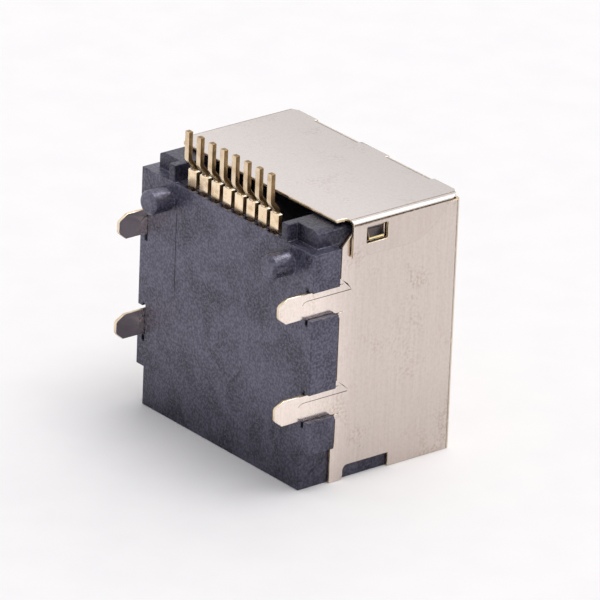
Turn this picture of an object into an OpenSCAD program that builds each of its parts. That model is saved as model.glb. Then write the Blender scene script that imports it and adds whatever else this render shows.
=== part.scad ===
// Right-angle network jack for a circuit board.
// A moulded housing takes a contact carrier with eight bent contacts from the
// rear, and a shell folded from one sheet closes over it.
// The jack stands on its port face. X runs along the contact row, -Y faces the
// circuit board and +Z is the rear, where the contact tails leave.

/* [Port] */
// Width of the plug cavity
port_w = 11.84; // [11.7:0.02:12]
// Height of the plug cavity, from its contact side to its latch side
port_h = 6.7; // [6.6:0.05:6.8]
// Depth of the plug cavity
port_depth = 11.9; // [11.6:0.1:12.1]
// Width of the channel for the plug's latch
latch_w = 6.3; // [6.1:0.05:6.5]
// Height of the latch channel at the mouth
latch_h = 0.8; // [0.7:0.05:0.9]
// Width of the keyway between the catch ledges
key_w = 3.3; // [3.2:0.05:3.6]
// Height of the keyway above the latch channel
key_h = 0.6; // [0.4:0.05:0.65]
// Thickness of the catch ledges behind the port face
ledge_t = 1.7; // [1.4:0.1:2]
// Depth of the latch pocket
latch_depth = 9.2; // [8:0.1:10]
// Chamfer round the mouth of the cavity
lead_in = 0.3; // [0.15:0.05:0.4]

/* [Housing] */
// Width of the moulding between the side panels
body_w = 13.72; // [13.6:0.02:14]
// Length from the port face to the rear of the moulding
body_len = 14.9; // [14.8:0.02:15.1]
// Thickness of the moulding between the board face and the cavity
floor_t = 1.35; // [1.3:0.05:1.5]
// Thickness of the board plate under the contacts
plate_t = 0.33; // [0.3:0.01:0.38]
// Distance from the rear edge of the board plate to the rear of the moulding
plate_step = 1; // [0.9:0.02:1.1]
// Depth of the ledge behind the rear edge of the board plate
ledge_y = 0.68; // [0.5:0.02:0.8]
// Width of the chamfer on the rear side edges
edge_run = 0.35; // [0.2:0.05:0.5]
// Depth of the chamfer on the rear side edges
edge_drop = 0.17; // [0.1:0.01:0.25]
// Width of the walls beside the contact row
cheek_t = 0.5; // [0.4:0.05:0.7]
// Reach of a side rail past the side of the moulding
rail_out = 0.64; // [0.55:0.01:0.8]
// Height of the side rails above the board face
rail_h = 1.86; // [1.7:0.02:1.98]
// Height of the lower end of the side rails
rail_start = 2.25; // [2.1:0.05:2.6]
// Gap above a solder tab in the opening of its rail
tab_slot_fit = 0.1; // [0.05:0.01:0.2]
// Overlap of the rail over the lower edge of a solder tab
tab_cover = 0.12; // [0.06:0.01:0.2]
// Reach of the slit behind the rail past each edge of a solder tab
slit_reach = 0.3; // [0.2:0.01:0.4]
// Diameter of the locating posts
post_d = 1.4; // [1.2:0.05:1.6]
// Length of the locating posts
post_len = 1.4; // [1.1:0.05:1.8]
// Distance between the locating posts
post_pitch = 10.5; // [10:0.1:11]
// Distance from the locating posts' axes to the rear edge of the board plate
post_edge = 1.1; // [1:0.05:1.5]
// Chamfer on the end of a locating post
post_chamfer = 0.16; // [0.05:0.01:0.25]

/* [Carrier] */
// Width of the contact carrier
carrier_w = 9.24; // [9.1:0.02:9.4]
// Clearance round the carrier in the housing
carrier_fit = 0.03; // [0.02:0.01:0.05]
// Height of the carrier's comb above the board face
comb_h = 7.1; // [6.6:0.1:7.5]
// Thickness of the comb
comb_t = 0.95; // [0.8:0.05:1.2]
// Depth of the slots in the comb
comb_slot_depth = 0.6; // [0.4:0.05:0.7]
// Height at which the slots in the comb end
comb_slot_h = 4.6; // [4.2:0.1:5]

/* [Contacts] */
// Distance between contacts
pitch = 1.02; // [1:0.01:1.04]
// Thickness of a contact
contact_t = 0.28; // [0.24:0.01:0.32]
// Width of the spring arm
arm_w = 0.46; // [0.4:0.01:0.5]
// Width of the tail
tail_w = 0.36; // [0.34:0.01:0.44]
// Width of the tooth that is pressed into the carrier
tooth_w = 0.72; // [0.66:0.01:0.76]
// Length of the tooth
tooth_len = 1.45; // [1.3:0.05:1.6]
// Reach of the tooth past the rear of the moulding
tooth_out = 0.03; // [0:0.01:0.08]
// Reach of the tail behind the tooth
tail_len = 2.37; // [2:0.05:2.8]
// Step of the tail towards the circuit board
tail_step = 0.44; // [0.3:0.02:0.5]
// Inside radius of the contact's front bend
nose_r = 0.36; // [0.3:0.02:0.4]
// Slope of the spring arm into the cavity, in degrees
arm_slope = 10.5; // [8:0.5:11.5]
// Length of the spring arm
arm_len = 10.2; // [10:0.1:10.4]
// Gap between a contact and its groove
groove_fit = 0.02; // [0.01:0.01:0.04]

/* [Shell] */
// Thickness of the sheet
sheet_t = 0.2; // [0.18:0.01:0.22]
// Height of the shell above the board face
shell_h = 10.46; // [10.3:0.02:10.6]
// Gap between the shell and the moulding
shell_fit = 0.02; // [0.01:0.01:0.04]
// Outside radius of the long bends
bend_r = 0.34; // [0.28:0.02:0.4]
// Height at which the side panels start above the board face
panel_y = 2.25; // [2.1:0.01:2.35]
// Height at which the legs of the side panels start above the board face
leg_y = 2; // [1.8:0.05:2.05]
// Length of the legs from the port face
leg_len = 2.05; // [1.8:0.05:2.1]
// Width of the legs
leg_w = 0.92; // [0.8:0.02:1.1]
// Height at which the notch in the port edge ends
notch_y = 6.05; // [5.4:0.05:6.4]
// Depth of the notch in the port edge
notch_h = 0.82; // [0.7:0.01:1]
// Gap between the top edge of the panels and the rear cover
panel_gap = 0.3; // [0.2:0.01:0.36]
// Reach of the solder tabs past the board face
tab_reach = 1.96; // [1.6:0.04:2.4]
// Width of the solder tabs at the root
tab_root_w = 1.64; // [1.6:0.01:1.8]
// Rise of a solder tab's lower edge between root and tip
tab_rise = 0.17; // [0.08:0.01:0.25]
// Chamfer on the tip of a solder tab
tab_chamfer = 0.42; // [0.2:0.02:0.5]
// Height of the lower edge of the lower solder tabs at the root
tab_z = 4.04; // [3.9:0.01:4.2]
// Distance between the solder tabs of one side
tab_pitch = 5.94; // [5.8:0.02:6.1]
// Width of the coined field along a solder tab
field_w = 0.92; // [0.7:0.02:1.1]
// Depth of the coined field
field_depth = 0.04; // [0.02:0.01:0.08]
// Distance from the lower edge of a tab's root to the middle of its field
field_rise = 0.76; // [0.7:0.02:0.84]
// Length of the coined field
field_len = 3.9; // [3:0.1:5]
// Distance from the tip of a solder tab to its field
field_start = 1.5; // [1.2:0.1:1.9]

/* [Rear cover] */
// Gap between the moulding and the rear cover
cover_gap = 0.1; // [0.06:0.01:0.12]
// Height at which the rear cover starts above the board face
cover_y = 2.1; // [2:0.01:2.3]
// Distance from the far face of the shell to the cover's cut edges
cover_cut = 0.26; // [0.2:0.01:0.32]
// Distance from the start of a side bend to the cover's near corner
corner_back = 0.34; // [0.2:0.02:0.4]
// Outside radius of the two folds at the far edge
fold_r = 0.6; // [0.5:0.02:0.7]
// Width of each of the two folds at the far edge
fold_w = 3.8; // [3:0.1:4.2]
// Distance between the two folds
fold_gap = 2.4; // [2:0.1:3]
// Height at which the side flaps start above the board face
flap_y = 2.78; // [2.7:0.01:3]
// Height at which the side flaps end above the board face
flap_end = 9.5; // [9.2:0.1:9.7]
// Length of the side flaps below the cover's outer face
flap_drop = 2.18; // [2:0.02:2.3]
// Height at which the lower edge of a side flap starts to rise
flap_rise_y = 6.6; // [6:0.1:7.2]
// Gap between a side flap and its panel
flap_gap = 0.06; // [0.02:0.01:0.08]
// Width of the window in a flap
window_w = 1.46; // [1.4:0.02:1.6]
// Height of the window in a flap
window_h = 0.96; // [0.9:0.01:1.05]
// Distance from the front edge of a flap to its window
window_y = 0.92; // [0.8:0.01:1.1]
// Distance from the cover's outer face to the window
window_drop = 0.52; // [0.45:0.01:0.6]
// Width of the latch tongue in a side panel
tongue_w = 1.05; // [0.9:0.05:1.1]
// Outward spring of the latch tongue
tongue_out = 0.19; // [0.12:0.01:0.2]

/* [Front lips] */
// Width of a lip that is folded over the port face
lip_w = 1.8; // [1.4:0.1:1.9]
// Length of a lip
lip_len = 1.3; // [1:0.05:1.5]
// Distance from the middle to a lip
lip_x = 3.95; // [3.8:0.05:4]
// Gap beside and behind a lip
lip_fit = 0.05; // [0.03:0.01:0.08]

/* [Hidden] */
$fn = 48;
contact_count = 8;

big = 40;
sides = [0, 1];

// Shell and cover
panel_in = body_w / 2 + shell_fit;
panel_out = panel_in + sheet_t;
flap_in = panel_out + flap_gap;
flap_out = flap_in + sheet_t;
shell_in_y = shell_h - sheet_t;
cover_in = body_len + cover_gap;
cover_out = cover_in + sheet_t;
cover_end = shell_h - cover_cut;
panel_end = cover_out - sheet_t - panel_gap;
fold_far = fold_gap / 2 + fold_w;
flap_low = cover_out - flap_drop;
tabs_z = [tab_z, tab_z + tab_pitch];
tab_neck = 0.25;
notch_start = leg_y + leg_w;
notch_r = 0.3;
corner_in = 0.3;
corner_up = 0.5;
corner_y = flap_end + corner_up;
window_r = 0.1;
relief_r = 0.15;
edge_slope = 0.5;
tongue_top = cover_out - window_drop - 0.2;
tongue_low = cover_out - window_drop - window_h + 0.12;
tongue_mid = flap_y + window_y + window_w / 2;
tongue_slot = 0.1;

// Housing
plate_len = body_len - plate_step;
rail_w = body_w + 2 * rail_out;
post_z = plate_len - post_edge;
body_h = shell_in_y - shell_fit;
port_top = floor_t + port_h;
latch_top = port_top + latch_h;
key_top = latch_top + key_h;
bay_w = carrier_w + 2 * carrier_fit;
bay_h = comb_h + carrier_fit;
bay_start = 1.7;
cheek_x = bay_w / 2;

// Contacts
contact_y = plate_t + groove_fit;
groove_y = contact_y + contact_t + groove_fit;
nose_z = bay_start + carrier_fit + contact_t + nose_r;
nose_y = contact_y + contact_t + nose_r;
tail_bend = 38;
tail_r = 0.25;
tip_chamfer = 0.09;
arm_tip_r = 0.6;
arm_tip_bend = -14;
tooth_end = body_len + tooth_out;
tooth_start = tooth_end - tooth_len;
carrier_end = plate_len + 0.05;

// The jack stands centred over the origin
mid_y = (shell_h - tab_reach) / 2;
module stand() {
    translate([0, -mid_y, 0]) children();
}

// Extrude a side view, drawn in Y and Z, along X between two places
module along_x(from, to) {
    translate([from, 0, 0]) rotate([90, 0, 90]) linear_extrude(to - from) children();
}

// Extrude a rear view, drawn in X and Z, along Y between two places
module along_y(from, to) {
    translate([0, to, 0]) rotate([90, 0, 0]) linear_extrude(to - from) children();
}

// Extrude a plan, drawn in X and Y, along Z between two places
module along_z(from, to) {
    translate([0, 0, from]) linear_extrude(to - from) children();
}

module both_sides() {
    for (side = sides) mirror([side, 0, 0]) children();
}

module span(from, to) {
    translate(from) square(to - from);
}

// A rectangle with round corners
module round_span(width, height, r) {
    translate([r, 0]) square([width - 2 * r, height]);
    translate([0, r]) square([width, height - 2 * r]);
    for (x = [r, width - r], y = [r, height - r]) translate([x, y]) circle(r);
}

// A block that is centred on X
module block(width, from, to) {
    translate([-width / 2, from[0], from[1]])
        cube([width, to[0] - from[0], to[1] - from[1]]);
}

// Points of an S-shaped step between two places
function s_curve(from, to, steps = 6) = [
    for (k = [0 : steps])
        let (t = k / steps)
            [from[0] + (to[0] - from[0]) * t, from[1] + (to[1] - from[1]) * t * t * (3 - 2 * t)]];

// Points of a curve that leaves one place level and steepens up to another
function run_up(from, to, steps = 8) = [
    for (k = [0 : steps])
        let (t = k / steps)
            [from[0] + (to[0] - from[0]) * t, from[1] + (to[1] - from[1]) * t * t]];

module wedge(angle) {
    polygon(concat([[0, 0]], [for (k = [0 : 3]) 3 * [cos(angle * k / 3), sin(angle * k / 3)]]));
}

// Section of a bend: it starts along +X and turns left
module bend(inside, thick, angle = 90) {
    intersection() {
        difference() {
            circle(inside + thick);
            circle(inside);
        }
        wedge(angle);
    }
}

// Side view of a bent strip that starts upward with its face at X = 0.
// Each step is a straight length, a turn to the left in degrees and its inside radius.
module bent_strip(steps, thick, n = 0) {
    if (n < len(steps)) {
        run = steps[n][0];
        turn = steps[n][1];
        r = steps[n][2];
        square([thick, run]);
        if (turn > 0)
            translate([-r, run]) {
                bend(r, thick, turn);
                rotate(turn) translate([r, 0]) bent_strip(steps, thick, n + 1);
            }
        if (turn < 0)
            translate([thick + r, run]) {
                mirror([1, 0]) bend(r, thick, -turn);
                rotate(turn) translate([-r - thick, 0]) bent_strip(steps, thick, n + 1);
            }
    }
}

// Plug cavity, latch channel and keyway, seen from the port
module port_outline(grow = 0) {
    span([-port_w / 2 - grow, floor_t - grow], [port_w / 2 + grow, port_top + grow]);
    span([-latch_w / 2 - grow, port_top - 1], [latch_w / 2 + grow, latch_top + grow]);
    span([-key_w / 2 - grow, latch_top - 1], [key_w / 2 + grow, key_top + grow]);
}

module port_cut() {
    along_z(-1, port_depth) port_outline();
    // Room behind the catch ledges, where the plug's latch springs up
    block(latch_w, [latch_top - 1, ledge_t], [key_top, latch_depth]);
    // Lead-in round the mouth
    both_sides() {
        along_y(floor_t, port_top)
            polygon([[port_w / 2 - 0.5, lead_in], [port_w / 2, lead_in], [port_w / 2 + lead_in, 0],
                [port_w / 2 + lead_in, -1], [port_w / 2 - 0.5, -1]]);
        along_y(latch_top - 1, key_top)
            polygon([[key_w / 2 - 0.5, lead_in], [key_w / 2, lead_in], [key_w / 2 + lead_in, 0],
                [key_w / 2 + lead_in, -1], [key_w / 2 - 0.5, -1]]);
    }
    along_x(-port_w / 2, port_w / 2)
        polygon([[floor_t + 0.5, lead_in], [floor_t, lead_in], [floor_t - lead_in, 0],
            [floor_t - lead_in, -1], [floor_t + 0.5, -1]]);
}

module contact_places() {
    for (n = [0 : contact_count - 1])
        translate([(n - (contact_count - 1) / 2) * pitch, 0, 0]) children();
}

module post() {
    straight = post_len - post_chamfer;
    rotate([90, 0, 0]) {
        translate([0, 0, -0.3]) cylinder(d = post_d, h = straight + 0.3);
        translate([0, 0, straight]) cylinder(d1 = post_d, d2 = post_d - 2 * post_chamfer, h = post_chamfer);
    }
}

module housing() {
    color([0.17, 0.18, 0.21]) stand() {
        difference() {
            union() {
                block(body_w, [0, 0], [body_h, plate_len]);
                block(body_w, [ledge_y, plate_len - 1], [body_h, body_len]);
                block(bay_w + 2 * cheek_t, [0, plate_len - 1], [ledge_y + 1, body_len]);
                block(rail_w, [0, rail_start], [rail_h, plate_len]);
            }
            port_cut();
            // Bay for the contact carrier, open to the rear and to the cavity
            block(bay_w, [plate_t, bay_start], [floor_t + 0.5, body_len + 1]);
            block(bay_w, [plate_t, port_depth - 0.1], [bay_h, body_len + 1]);
            // Open front of the bay above the board plate
            block(bay_w, [-1, plate_len], [ledge_y, body_len + 1]);
            // Slits for the solder tabs behind the rails, and their openings to the side
            both_sides() for (z = tabs_z) {
                translate([body_w / 2, -1, z - slit_reach])
                    cube([sheet_t + 2 * shell_fit, big, tab_root_w + 2 * slit_reach]);
                translate([panel_in, -1, z + tab_cover])
                    cube([rail_w, big, tab_root_w + tab_slot_fit - tab_cover]);
            }
            // Scallops in the plate's rear edge, one before each tooth
            contact_places() translate([0, plate_t, plate_len])
                rotate([90, 0, 0]) cylinder(d = tooth_w + 2 * groove_fit, h = plate_t * 0.6);
            // Seats for the lips that fold over the port face
            both_sides() translate([lip_x - lip_fit, shell_in_y - lip_len - lip_fit, -1])
                cube([lip_w + 2 * lip_fit, lip_len + 1, 1 + sheet_t + lip_fit]);
            // Chamfers under the bends of the lips and the folds of the rear cover
            both_sides() along_x(lip_x - lip_fit, lip_x + lip_w + lip_fit)
                polygon([[body_h - bend_r, -1], [body_h - bend_r, sheet_t + lip_fit], [body_h, bend_r + lip_fit],
                    [body_h + 1, bend_r + lip_fit], [body_h + 1, -1]]);
            along_x(-body_w, body_w)
                polygon([[body_h - fold_r / 2, body_len], [body_h, body_len - fold_r / 2],
                    [body_h + 1, body_len - fold_r / 2], [body_h + 1, body_len + 1],
                    [body_h - fold_r / 2, body_len + 1]]);
            // Chamfers on the rear side edges, between the side panels
            both_sides() along_y(0, big)
                polygon([[body_w / 2 - edge_run, body_len], [body_w / 2, body_len - edge_drop],
                    [body_w / 2 + 1, body_len - edge_drop], [body_w / 2 + 1, body_len + 1],
                    [body_w / 2 - edge_run, body_len + 1]]);
            // Rounded far edges, under the long bends of the shell
            both_sides() along_z(-1, body_len + 1) difference() {
                span([body_w / 2 - bend_r, body_h - bend_r], [body_w / 2 + 1, body_h + 1]);
                translate([body_w / 2 - bend_r, body_h - bend_r]) circle(bend_r);
            }
        }
        both_sides() translate([post_pitch / 2, 0, post_z]) post();
    }
}

// Space that one contact takes in the carrier, seen from the side
module contact_groove() {
    span([contact_y - 1, 0], [groove_y, plate_len + 1]);
    difference() {
        span([contact_y - 1, 0], [floor_t + 1, nose_z]);
        translate([nose_y, nose_z]) circle(nose_r - groove_fit);
    }
}

module contact_carrier() {
    color([0.13, 0.14, 0.16]) stand() difference() {
        union() {
            block(carrier_w, [contact_y, bay_start + carrier_fit], [floor_t, carrier_end]);
            block(carrier_w, [floor_t - 0.5, port_depth + carrier_fit], [comb_h, port_depth + comb_t]);
        }
        // The tongue is cut back behind the teeth
        block(carrier_w + 1, [groove_y + 0.25, port_depth + comb_t], [comb_h + 1, body_len]);
        contact_places() {
            along_x(-arm_w / 2 - groove_fit, arm_w / 2 + groove_fit) contact_groove();
            block(tooth_w + 2 * groove_fit, [0, tooth_start - groove_fit], [groove_y, body_len]);
            block(arm_w + 4 * groove_fit, [floor_t, port_depth - 1],
                [comb_slot_h, port_depth + carrier_fit + comb_slot_depth]);
        }
    }
}

// Side view of a contact, from the rear end of its tooth to both ends
module contact_side() {
    front_run = tooth_end - nose_z;
    // The front part runs to the nose, turns back and rises into the cavity
    translate([contact_y, tooth_end]) mirror([0, 1])
        bent_strip([[front_run, -(180 - arm_slope), nose_r], [arm_len - 1, arm_tip_bend, arm_tip_r],
            [0.8, 0, 0]], contact_t);
    // The tail steps towards the board and runs on to its tip
    bend_rise = (tail_r + contact_t + tail_r) * sin(tail_bend);
    bend_shift = (2 * tail_r + contact_t) * (1 - cos(tail_bend));
    slant = (tail_step - bend_shift) / sin(tail_bend);
    straight = tail_len - bend_rise - slant * cos(tail_bend);
    translate([contact_y, tooth_end])
        bent_strip([[0.02, tail_bend, tail_r], [slant, -tail_bend, tail_r], [straight, 0, 0]], contact_t);
}

// Front view of a contact: arm, tooth and tail, with a chamfered tip
module contact_front() {
    tip = tooth_end + tail_len;
    span([-arm_w / 2, 0], [arm_w / 2, tooth_start + 0.2]);
    polygon([[-arm_w / 2, tooth_start], [arm_w / 2, tooth_start], [tooth_w / 2, tooth_start + 0.25],
        [tooth_w / 2, tooth_end], [-tooth_w / 2, tooth_end], [-tooth_w / 2, tooth_start + 0.25]]);
    polygon([[-tail_w / 2, tooth_end - 0.2], [tail_w / 2, tooth_end - 0.2], [tail_w / 2, tip - 2 * tip_chamfer],
        [tail_w / 2 - tip_chamfer, tip], [-tail_w / 2 + tip_chamfer, tip], [-tail_w / 2, tip - 2 * tip_chamfer]]);
}

module contact(n) {
    color([0.86, 0.68, 0.4]) stand()
        translate([(n - (contact_count + 1) / 2) * pitch, 0, 0])
            intersection() {
                along_x(-pitch, pitch) contact_side();
                along_y(-big, big) contact_front();
            }
}

// Plan of the far panel, its two long bends and the side panels
module wrap_plan() {
    both_sides() {
        span([panel_in, -tab_reach], [panel_out, shell_h - bend_r]);
        translate([panel_out - bend_r, shell_h - bend_r]) bend(bend_r - sheet_t, sheet_t);
    }
    span([bend_r - panel_out, shell_in_y], [panel_out - bend_r, shell_h]);
}

// A solder tab, seen from the side, with the lower edge of its root at 0
module tab_outline() {
    polygon(concat(
        [[-tab_reach, tab_rise + tab_chamfer], [-tab_reach + tab_chamfer, tab_rise]],
        s_curve([-tab_neck, tab_rise], [tab_neck, 0]),
        [[panel_y + 0.1, 0], [panel_y + 0.1, tab_root_w]],
        [[-tab_reach + tab_chamfer, tab_root_w], [-tab_reach, tab_root_w - tab_chamfer]]));
}

// A side panel, seen from the side
module panel_outline() {
    difference() {
        union() {
            polygon([[panel_y, leg_len - 0.1], [panel_y, panel_end - 2 * edge_slope], [panel_y + 2 * edge_slope,
                panel_end], [shell_h, panel_end], [shell_h, 0], [notch_start - 0.1, 0], [notch_start - 0.1, leg_len]]);
            span([leg_y, 0], [notch_start, leg_len]);
            for (z = tabs_z) translate([0, z]) tab_outline();
        }
        // Notch in the port edge, with a round corner at the leg
        difference() {
            span([notch_start, -1], [notch_y, notch_h]);
            difference() {
                span([notch_start, notch_h - notch_r], [notch_start + notch_r, notch_h]);
                translate([notch_start + notch_r, notch_h - notch_r]) circle(notch_r);
            }
        }
        // Round corner at the foot of the leg
        difference() {
            span([notch_start - notch_r, -1], [notch_start, notch_r]);
            translate([notch_start - notch_r, notch_r]) circle(notch_r);
        }
        // Round reliefs beside the tab roots
        for (z = tabs_z, end = [-relief_r, tab_root_w + relief_r])
            translate([panel_y, z + end]) circle(relief_r);
        // Gap round the latch tongue
        span([tongue_mid - tongue_w / 2 - tongue_slot, tongue_low - tongue_slot],
            [tongue_mid + tongue_w / 2 + tongue_slot, tongue_top]);
    }
}

// Fields coined into the tabs and on into their panel
module field_outline() {
    r = field_w / 2;
    for (z = tabs_z) translate([field_start - tab_reach, z + field_rise]) {
        translate([r, 0]) circle(r);
        span([r, -r], [field_len - r, r]);
        translate([field_len - r, 0]) circle(r);
    }
}

// Latch tongue: lanced from the panel, with its root at the top and sprung outward
module tongue() {
    along_y(tongue_mid - tongue_w / 2, tongue_mid + tongue_w / 2)
        polygon([[panel_in, tongue_top + 0.05], [panel_out, tongue_top + 0.05], [panel_out, tongue_top],
            [panel_out + tongue_out, tongue_low], [panel_in + tongue_out, tongue_low], [panel_in, tongue_top]]);
}

module wrap() {
    difference() {
        intersection() {
            along_z(0, panel_end) wrap_plan();
            along_x(-big, big) panel_outline();
        }
        both_sides() along_x(panel_out - field_depth, panel_out + 1) field_outline();
        // Reliefs beside the folds of the rear cover
        both_sides() translate([fold_gap / 2 - relief_r, shell_in_y - 1, cover_out - fold_r])
            cube([fold_w + 2 * relief_r, big, big]);
        // Room for the front lips and their corner reliefs
        both_sides() translate([lip_x - relief_r, shell_in_y - 1, -1])
            cube([lip_w + 2 * relief_r, big, 1 + bend_r]);
    }
    both_sides() {
        tongue();
        along_x(lip_x, lip_x + lip_w) front_lip();
        along_x(fold_gap / 2, fold_far) cover_fold();
    }
}

// Section of a lip that is folded over the port face
module front_lip() {
    translate([shell_h - bend_r, bend_r]) rotate(-90) bend(bend_r - sheet_t, sheet_t);
    span([shell_in_y - lip_len, 0], [shell_h - bend_r, sheet_t]);
}

// Section of the fold between the far panel and the rear cover
module cover_fold() {
    translate([shell_h - fold_r, cover_out - fold_r]) bend(fold_r - sheet_t, sheet_t);
    span([shell_in_y, cover_out - fold_r - 0.2], [shell_h, cover_out - fold_r]);
}

// Plan of the rear cover without its side bends
module cover_plan() {
    side = flap_out - bend_r;
    both_sides()
        polygon([[0, cover_y], [side - corner_back, cover_y], [side - corner_back, flap_y], [side, flap_y],
            [side, corner_y], [side - corner_in, cover_end], [fold_far, cover_end], [fold_far, shell_h - fold_r],
            [fold_gap / 2, shell_h - fold_r], [fold_gap / 2, cover_end], [0, cover_end]]);
}

// A side flap, seen from the side
module flap_outline() {
    difference() {
        polygon(concat(
            [[corner_y, big], [flap_y, big], [flap_y, flap_low]],
            run_up([flap_rise_y, flap_low], [flap_end, cover_out - bend_r]),
            [[corner_y, cover_out]]));
        translate([flap_y + window_y, cover_out - window_drop - window_h])
            round_span(window_w, window_h, window_r);
    }
}

module cover() {
    along_z(cover_in, cover_out) cover_plan();
    both_sides() intersection() {
        along_y(flap_y, corner_y) {
            span([flap_in, 0], [flap_out, cover_out - bend_r]);
            translate([flap_out - bend_r, cover_out - bend_r]) bend(bend_r - sheet_t, sheet_t);
        }
        along_x(0, big) flap_outline();
    }
}

module shell() {
    color([0.78, 0.77, 0.75]) stand() {
        wrap();
        cover();
    }
}

housing();
contact_carrier();
for (n = [1 : contact_count]) {
    contact(n);
}
shell();
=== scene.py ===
"""A right-angle network jack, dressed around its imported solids.

The jack stands on its port face. X runs along the contact row, -Y faces the circuit board and +Z is
the rear, where the contact tails leave. Sizes in the classes are real ones, in millimetres, with Y
measured from the board face and Z from the port face. The shell and the contacts are drawn in those
millimetres and brought into the frame's metres once, at their end. The two mouldings are copies of
their solids.
"""

import logging
import math
from abc import ABC, abstractmethod
from collections.abc import Iterable, Sequence
from dataclasses import dataclass
from enum import Enum
from functools import cached_property, partial, reduce

import bmesh
import bpy
from bmesh.types import BMEdge, BMesh, BMFace, BMVert
from bpy.types import Material, NodeSocket, Object
from mathutils import Euler, Matrix, Vector


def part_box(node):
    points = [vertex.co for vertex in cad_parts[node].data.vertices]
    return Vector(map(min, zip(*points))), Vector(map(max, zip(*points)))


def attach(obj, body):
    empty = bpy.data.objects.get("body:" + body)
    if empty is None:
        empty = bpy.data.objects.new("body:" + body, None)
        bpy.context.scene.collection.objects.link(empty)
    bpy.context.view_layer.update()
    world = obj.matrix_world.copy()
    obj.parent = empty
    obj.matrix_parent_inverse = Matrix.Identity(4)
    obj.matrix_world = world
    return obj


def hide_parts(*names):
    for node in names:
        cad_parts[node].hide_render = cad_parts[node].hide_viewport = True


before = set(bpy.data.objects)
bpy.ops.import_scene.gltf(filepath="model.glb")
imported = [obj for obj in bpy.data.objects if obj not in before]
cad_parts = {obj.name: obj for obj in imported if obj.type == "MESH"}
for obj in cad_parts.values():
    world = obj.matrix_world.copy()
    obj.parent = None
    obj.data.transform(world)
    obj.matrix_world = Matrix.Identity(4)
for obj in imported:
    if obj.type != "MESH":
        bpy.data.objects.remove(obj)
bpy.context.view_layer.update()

LOG = logging.getLogger("jack")
BODY = "root"
WHITE = (1.0, 1.0, 1.0)

# A millimetre of the classes in the frame's metres
MM = 0.001
# Points nearer than this are one, in millimetres
MERGE = 0.0005
# Faces that meet at less than this angle are one, in radians
FLAT = 0.01
# How a seed shifts the noise along X, Y and Z
NOISE_SHIFT = (1.0, 1.7, 2.3)
# The far face of the shell lies this far from the board face, which gives the board face's own place
SHELL_REACH = 10.46
BOARD_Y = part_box("shell")[1].y / MM - SHELL_REACH

Point = tuple[float, float]
Place = tuple[float, float, float]
Span = tuple[float, float]
Colour = tuple[float, float, float]
Ramp = tuple[float, float, float, float]
Value = float | Colour | NodeSocket


class Slot(Enum):
    """The record's material slots."""

    HOUSING = "housing_plastic"
    CARRIER = "carrier_plastic"
    CONTACT = "contact_gold"
    SHELL = "shell_metal"


class Grain(Enum):
    """How the fine marks of a surface run, as the stretch of their pattern along X, Y and Z."""

    ALONG_Z = (1.0, 1.0, 0.03)
    FLOWN = (1.0, 1.0, 0.12)
    EVEN = (1.0, 1.0, 1.0)


class Plane(Enum):
    """The plane an outline is drawn in, by the axes of its two coordinates and of its level."""

    XY = (0, 1, 2)
    XZ = (0, 2, 1)
    YZ = (1, 2, 0)

    def place(self, point: Point, level: float) -> Vector:
        """The point in space of a point of the drawing.

        Args:
            point: The two coordinates in the plane.
            level: The plane's own coordinate.

        Returns:
            The point in X, Y and Z.
        """
        first, second, third = self.value
        out = Vector((0.0, 0.0, 0.0))
        out[first], out[second], out[third] = point[0], point[1], level
        return out


class SheetPart(Enum):
    """The parts of the shell's sheet that differ in finish or in painted light and shade, by the number of
    their material.
    """

    PANEL = 0
    COVER = 1
    BEND_LINE = 2
    WARM_BEND = 3
    CREASE = 4
    FLAP = 5
    LATCH_LIP = 6


class StripPart(Enum):
    """The parts of a contact that differ in finish or carry a painted highlight, by the number of their
    material.
    """

    PLATED = 0
    SHEARED = 1
    BURNISHED = 2


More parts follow.
